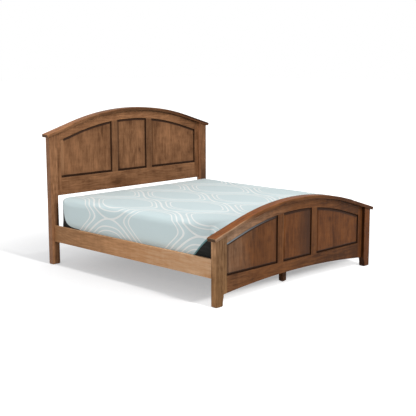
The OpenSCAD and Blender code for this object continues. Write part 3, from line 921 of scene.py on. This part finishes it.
# Up to these heights above its underside the cover is held, and doesn't swell at all
HELD_UP_TO = 0.07
FLAT_UP_TO = 0.05
# How far in from the edges the crown rises
CROWN_RUN = 0.46
# How far the foot's upper corners drop, and how far from them it shows
DROOP = 0.015
DROOP_RUN = 0.32
# How far the sides are drawn in at half their height, and how near the edges
DRAW_IN = 0.003
DRAW_RUN = 0.08
# The cloth that swells, and how many frames it takes
CLOTH = {
    "quality": 4,
    "mass": 0.4,
    "tension_stiffness": 20,
    "compression_stiffness": 20,
    "bending_stiffness": 2,
    "use_pressure": True,
    "uniform_pressure_force": 4,
    "vertex_group_mass": "stitched",
}
CLOTH_FRAMES = 20
# The lines nested inside an ogee: how far in from its line, and how wide as a share of it
NESTED_LINES = ((0.045, 0.72), (0.082, 0.6))


def ogee(p, q, settings):
    """Distance on the cover from a point to the nearest quilted ogee line."""
    wide, long = settings.cell_w, settings.cell_l
    bend = (wide / 2) * np.sin(np.pi * q / long)
    slope = (wide / 2) * (np.pi / long) * np.cos(np.pi * q / long)
    first = np.abs((p - bend + wide) % (2 * wide) - wide)
    second = np.abs((p - wide + bend + wide) % (2 * wide) - wide)
    return np.minimum(first, second) / np.sqrt(1 + slope**2)


def unroll(points):
    """Folds the mattress's sides out flat round its top."""
    centre = (np.array(MATTRESS_LOW) + np.array(MATTRESS_HIGH)) / 2
    half = (np.array(MATTRESS_HIGH) - np.array(MATTRESS_LOW)) / 2
    rel = points - centre
    to_side = half[0] - np.abs(rel[:, 0])
    to_end = half[1] - np.abs(rel[:, 1])
    drop = np.maximum(0, half[2] - SIDE_START - rel[:, 2])
    on_side = to_side < to_end
    p = rel[:, 0] + np.sign(rel[:, 0]) * drop * on_side
    q = rel[:, 1] + np.sign(rel[:, 1]) * drop * ~on_side
    return p, q


def soft_block(name, low, high):
    """A closed block with rounded corners and rounded upper and lower edges."""
    mesh = bmesh.new()
    bmesh.ops.create_cube(mesh, size=1.0)
    size = high - low
    bmesh.ops.scale(mesh, vec=size, verts=mesh.verts)
    bmesh.ops.translate(mesh, vec=(low + high) / 2, verts=mesh.verts)
    upright = [e for e in mesh.edges if abs(e.verts[0].co.z - e.verts[1].co.z) > size.z * 0.9]
    bmesh.ops.bevel(mesh, geom=upright, offset=CORNER_R, segments=8, profile=0.5, affect="EDGES")
    for height in (high.z, low.z):
        rim = [
            e
            for e in mesh.edges
            if all(abs(v.co.z - height) < 1e-5 for v in e.verts)
            and any(abs(f.normal.z) < 0.5 for f in e.link_faces)
        ]
        mesh.normal_update()
        bmesh.ops.bevel(mesh, geom=rim, offset=EDGE_R, segments=6, profile=0.5, affect="EDGES")
        mesh.normal_update()
    return stand_mesh(name, mesh)


def bake_modifiers(piece):
    """Applies a piece's modifiers to its mesh."""
    seen = piece.evaluated_get(bpy.context.evaluated_depsgraph_get())
    data = bpy.data.meshes.new_from_object(seen)
    old = piece.data
    piece.modifiers.clear()
    piece.data = data
    bpy.data.meshes.remove(old)


def points_of(data):
    """A mesh's points, as rows of x, y and z."""
    co = np.empty(len(data.vertices) * 3)
    data.vertices.foreach_get("co", co)
    return co.reshape(-1, 3)


def set_points(data, points):
    data.vertices.foreach_set("co", points.ravel())
    data.update()


def swell(piece, settings):
    """Lets the fill push the cover out between the quilted lines, as cloth under pressure."""
    rest = points_of(piece.data)
    p, q = unroll(rest)
    held = ogee(p, q, settings) < settings.line_w * 0.8
    held |= rest[:, 2] < MATTRESS_LOW.z + HELD_UP_TO
    group = piece.vertex_groups.new(name="stitched")
    group.add([int(i) for i in np.flatnonzero(held)], 1.0, "REPLACE")
    cloth = piece.modifiers.new("fill", "CLOTH")
    for key, value in CLOTH.items():
        setattr(cloth.settings, key, value)
    cloth.settings.effector_weights.gravity = 0
    cloth.collision_settings.use_collision = False
    cloth.point_cache.frame_start = 1
    cloth.point_cache.frame_end = CLOTH_FRAMES
    scene = bpy.context.scene
    for step in range(1, CLOTH_FRAMES + 1):
        scene.frame_set(step)
    seen = piece.evaluated_get(bpy.context.evaluated_depsgraph_get())
    moved = points_of(seen.data)
    piece.modifiers.clear()
    piece.vertex_groups.clear()
    scene.frame_set(1)
    push = moved - rest
    length = np.linalg.norm(push, axis=1, keepdims=True)
    limit = np.full_like(length, settings.swell)
    limit[rest[:, 2] < MATTRESS_LOW.z + FLAT_UP_TO] = 0
    set_points(piece.data, rest + push * np.minimum(1, limit / np.maximum(length, 1e-9)))


def crown(piece):
    """Raises the top's middle, drops the foot's corners and draws in the sides, as the fill settles."""
    points = points_of(piece.data)
    beyond = points - np.array(CENTRE)
    to_side = HALF.x - np.abs(beyond[:, 0])
    to_end = HALF.y - np.abs(beyond[:, 1])
    to_edge = np.minimum(to_side, to_end)
    share = np.clip((points[:, 2] - MATTRESS_LOW.z) / (2 * HALF.z), 0, 1)
    lift = CROWN * np.sin(np.clip(to_edge / CROWN_RUN, 0, 1) * np.pi / 2)
    points[:, 2] += lift * np.clip((share - 0.5) * 2, 0, 1)
    from_corner = np.hypot(to_side, to_end)
    droop = np.clip(1 - from_corner / DROOP_RUN, 0, 1) * np.clip((share - 0.4) * 2, 0, 1)
    points[:, 2] -= DROOP * droop * (beyond[:, 1] < 0)
    pull = DRAW_IN * np.sin(np.pi * share) * np.clip(1 - to_edge / DRAW_RUN, 0, 1)
    for axis, to_face in enumerate((to_side, to_end)):
        points[:, axis] -= np.sign(beyond[:, axis]) * pull * np.clip(1 - to_face / DRAW_RUN, 0, 1)
    set_points(piece.data, points)


def quilt_lines(p, q, settings):
    """The quilted lines on the unrolled cover, and the distance to the nearest ogee line."""
    wide, long = settings.cell_w, settings.cell_l
    angle = q * (math.pi / long)
    bend = angle.sin() * (wide / 2)
    slope = angle.cos() * (wide / 2 * math.pi / long)
    slant = (slope * slope + 1).sqrt()
    first = abs((p - bend).maths("WRAP", wide, -wide))
    second = abs((p - wide + bend).maths("WRAP", wide, -wide))
    far = first.least(second) / slant
    half_line = settings.line_w / 2
    line = far.fall(half_line - 0.0015, half_line + 0.0015)
    beside = first.maths("SMOOTH_MIN", second, 0.16) / slant
    for away, width in NESTED_LINES:
        nested = abs(beside - away)
        line = line.most(nested.fall(half_line * width - 0.0012, half_line * width + 0.0012))
    return line, far


def corner_patches(along, foot_end, z):
    """The dark corner patches and their edging: at the foot a slightly bowed slant from the corner down to
    the lower edge, at the head a curve that sweeps out along the lower edge."""
    slant = (1 - (along / 0.265) ** 1.15) * 0.250
    upright = ((0 - along / 0.034).exp() * 0.62).least(0.18)
    sweep = upright + (0.056 - along * 0.03) * along.fall(0.28, 0.36)
    above = foot_end * slant + (1 - foot_end) * sweep - (z - MATTRESS_LOW.z)
    patch = above.rise(-0.001, 0.001)
    edging = above.rise(-0.024, -0.012) * (1 - patch) * foot_end.most(along.fall(0.03, 0.08))
    return patch, edging


def cover_cloth(settings):
    """A fine knitted cover with quilted ogee lines and dark corner patches."""
    finish = Finish(bpy.data.materials.new("mattress_knit"))
    x, y, z = finish.place()
    rel_x = x - CENTRE.x
    rel_y = y - CENTRE.y
    to_side = HALF.x - abs(rel_x)
    to_end = HALF.y - abs(rel_y)
    drop = ((HALF.z - SIDE_START + CENTRE.z) - z).most(0.0)
    on_side = to_side.below(to_end)
    p = rel_x + rel_x.sign() * drop * on_side
    q = rel_y + rel_y.sign() * drop * (1 - on_side)
    line, far = quilt_lines(p, q, settings)
    along = to_side.most(0.0) + to_end.most(0.0)
    foot_end = rel_y.below(0.0)
    patch, edging = corner_patches(along, foot_end, z)

    # Painted shade: the cover darkens towards the footboard, and most in its upper corners there
    near_end = to_end.fall(0.0, 0.55)
    near_corner = along.fall(0.02, 0.45) * z.rise(MATTRESS_HIGH.z - 0.10, MATTRESS_HIGH.z - 0.02)
    painted_foot_shade = 1 - foot_end * (near_end * 0.12 + near_corner * 0.32)

    # Yarn: a fine rib and fibres, over soft clouds
    cloud = finish.noise(finish.vector(p, q, drop), 5.0, 3.0)
    fibre = finish.noise(finish.vector(p * 900, q * 260, drop * 260), 1.0, 2.0)
    rib = (p * (2 * math.pi / 0.0024)).sin() * (q * (2 * math.pi / 0.0036)).sin()
    tone = (cloud - 0.5) * 0.10 + (fibre - 0.5) * 0.10 + rib * 0.02
    body = finish.mix(tone + 0.5, tint(settings.cover, 0.90), tint(settings.cover, 1.10))
    yarn = finish.mix(fibre, tint(settings.line, 0.90), tint(settings.line, 1.06))
    dark = finish.mix(fibre, tint(settings.corner, 0.7), tint(settings.corner, 1.5))
    shown = finish.times(finish.mix(line, body, yarn), painted_foot_shade)
    shown = finish.mix(edging, shown, settings.welt)
    shown = finish.mix(patch, shown, dark)
    finish.surface(Base_Color=shown, Roughness=0.86 + (fibre - 0.5) * 0.15 - line * 0.08)
    finish.surface(Sheen_Weight=0.15, Sheen_Roughness=0.5, Specular_IOR_Level=0.25)
    half_line = settings.line_w / 2
    stitch = far.fall(half_line, half_line + 0.012) * (1 - patch)
    height = rib * 0.25 + fibre * 0.5 + line * 0.8 - stitch * 1.4 + edging * 1.5
    finish.bump(height, 0.5, 0.0012)
    return finish.owner


class BED_OT_mattress(bpy.types.Operator):
    """Makes the quilted mattress in place of its plain solid"""

    bl_idname = "bed.mattress"
    bl_label = "Make Mattress"

    def execute(self, context):
        settings = context.scene.bed_mattress
        low = MATTRESS_LOW + Vector((ROOM, ROOM, 0.0))
        high = MATTRESS_HIGH - Vector((ROOM, ROOM, CROWN + ROOM))
        piece = soft_block("mattress_cover", low, high)
        remesh = piece.modifiers.new("even", "REMESH")
        remesh.mode = "VOXEL"
        remesh.voxel_size = settings.voxel * 1.0
        bake_modifiers(piece)
        swell(piece, settings)
        crown(piece)
        smooth = piece.modifiers.new("smooth", "SUBSURF")
        smooth.levels = smooth.render_levels = 1
        bake_modifiers(piece)
        piece.data.polygons.foreach_set("use_smooth", [True] * len(piece.data.polygons))
        piece.data.materials.clear()
        piece.data.materials.append(cover_cloth(settings))
        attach(piece, "mattress")
        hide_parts("mattress")
        return {"FINISHED"}


# The stage, with its sizes in metres

# Half the floor's width
FLOOR_HALF = 60
# From where to where, out from the bed's middle, the floor whitens, and in front of the bed and how
# strongly, where it is painted light that lightens the shadow under and just behind the footboard
ROUND_FADE = (0.8, 4.2)
FRONT_FADE = (0.78, 0.92)
FRONT_WHITE = 0.46
# The lamps: place, what they point at, and size
LAMPS = {
    "key": ((-0.9, -11.0, 9.2), (-0.9, 0, 0.4), (1.2, 6.5)),
    "fill": ((-9.0, -0.5, 3.6), (0, 0, 0.5), (6.0, 5.0)),
}


class BED_OT_stage(bpy.types.Operator):
    """Adds the floor, the lamps, the sky and the camera"""

    bl_idname = "bed.stage"
    bl_label = "Set Stage"

    def execute(self, context):
        settings = context.scene.bed_stage
        scene = context.scene
        self.floor(settings.lift)
        self.sky(scene, settings.sky)
        for kind, (place, aim, size) in LAMPS.items():
            self.lamp(kind + "_lamp", place, aim, size, getattr(settings, kind))
        self.camera(scene, settings)
        scene.view_settings.view_transform = "Standard"
        return {"FINISHED"}

    def floor(self, lift):
        mesh = bmesh.new()
        bmesh.ops.create_grid(mesh, x_segments=8, y_segments=8, size=FLOOR_HALF)
        floor = stand_mesh("floor", mesh)
        finish = Finish(bpy.data.materials.new("floor_white"))
        x, y, z = finish.place()
        # The floor whitens far from the bed, and painted light lightens the shadow under and in front of the
        # footboard
        away = (x * x + y * y).sqrt().rise(*ROUND_FADE).most((0 - y).rise(*FRONT_FADE) * FRONT_WHITE)
        seen = finish.mix(away, (lift, lift * 1.01, lift * 1.04), (1.0, 1.0, 1.0))
        finish.surface(Base_Color=(0.65, 0.65, 0.65), Roughness=0.9, Specular_IOR_Level=0.0)
        finish.surface(Emission_Color=finish.white_to_eye((0.0, 0.0, 0.0), seen), Emission_Strength=1.0)
        floor.data.materials.append(finish.owner)

    def sky(self, scene, level):
        world = bpy.data.worlds.new("white_studio")
        scene.world = world
        finish = Finish(world, "Background", "OutputWorld")
        finish.surface(Color=finish.white_to_eye((level, level, level), (1.0, 1.0, 1.0)), Strength=1.0)

    def lamp(self, name, place, aim, size, power):
        data = bpy.data.lights.new(name, "AREA")
        data.shape = "RECTANGLE"
        data.size, data.size_y = size
        data.energy = power
        lamp = stand(name, data)
        lamp.location = place
        lamp.rotation_euler = (Vector(aim) - Vector(place)).to_track_quat("-Z", "Y").to_euler()

    def camera(self, scene, settings):
        data = bpy.data.cameras.new("camera")
        data.lens = settings.lens
        data.sensor_width = 36
        data.clip_end = 200
        camera = stand("camera", data)
        turn, tilt, roll = settings.turn, settings.tilt, settings.roll
        ahead = Vector((math.sin(turn) * math.cos(tilt), math.cos(turn) * math.cos(tilt), -math.sin(tilt)))
        right = Vector((math.cos(turn), -math.sin(turn), 0))
        up = right.cross(ahead)
        side = right * math.cos(roll) + up * math.sin(roll)
        above = up * math.cos(roll) - right * math.sin(roll)
        spin = Matrix((side, above, -ahead)).transposed()
        camera.matrix_world = Matrix.Translation(Vector(settings.eye)) @ spin.to_4x4()
        scene.camera = camera


# The add-on


class BED_PT_panel(bpy.types.Panel):
    """The bed's settings and the operators that build it"""

    bl_label = "Arched Panel Bed"
    bl_idname = "BED_PT_panel"
    bl_space_type = "VIEW_3D"
    bl_region_type = "UI"
    bl_category = "Bed"

    def draw(self, context):
        for name, (_, *operators) in STEPS.items():
            box = self.layout.box()
            settings = getattr(context.scene, name)
            for key in settings.__annotations__:
                box.prop(settings, key)
            for operator in operators:
                box.operator(operator.bl_idname)


# Each group of settings with the operators that use it, in the order that the panel lists them
STEPS = {
    "bed_stage": (BedStageSettings, BED_OT_stage),
    "bed_wood": (BedWoodSettings, BED_OT_end_board, BED_OT_rails),
    "bed_metal": (BedMetalSettings, BED_OT_metal),
    "bed_mattress": (BedMattressSettings, BED_OT_mattress),
}
CLASSES = (*(cls for step in STEPS.values() for cls in step), BED_PT_panel)


def register():
    for cls in CLASSES:
        bpy.utils.register_class(cls)
    for name, (group, *_) in STEPS.items():
        setattr(bpy.types.Scene, name, bpy.props.PointerProperty(type=group))


def unregister():
    for name in STEPS:
        delattr(bpy.types.Scene, name)
    for cls in reversed(CLASSES):
        bpy.utils.unregister_class(cls)


def main():
    register()
    bpy.ops.bed.stage()
    bpy.ops.bed.end_board()
    bpy.ops.bed.rails()
    bpy.ops.bed.metal()
    bpy.ops.bed.mattress()


if __name__ == "__main__":
    main()
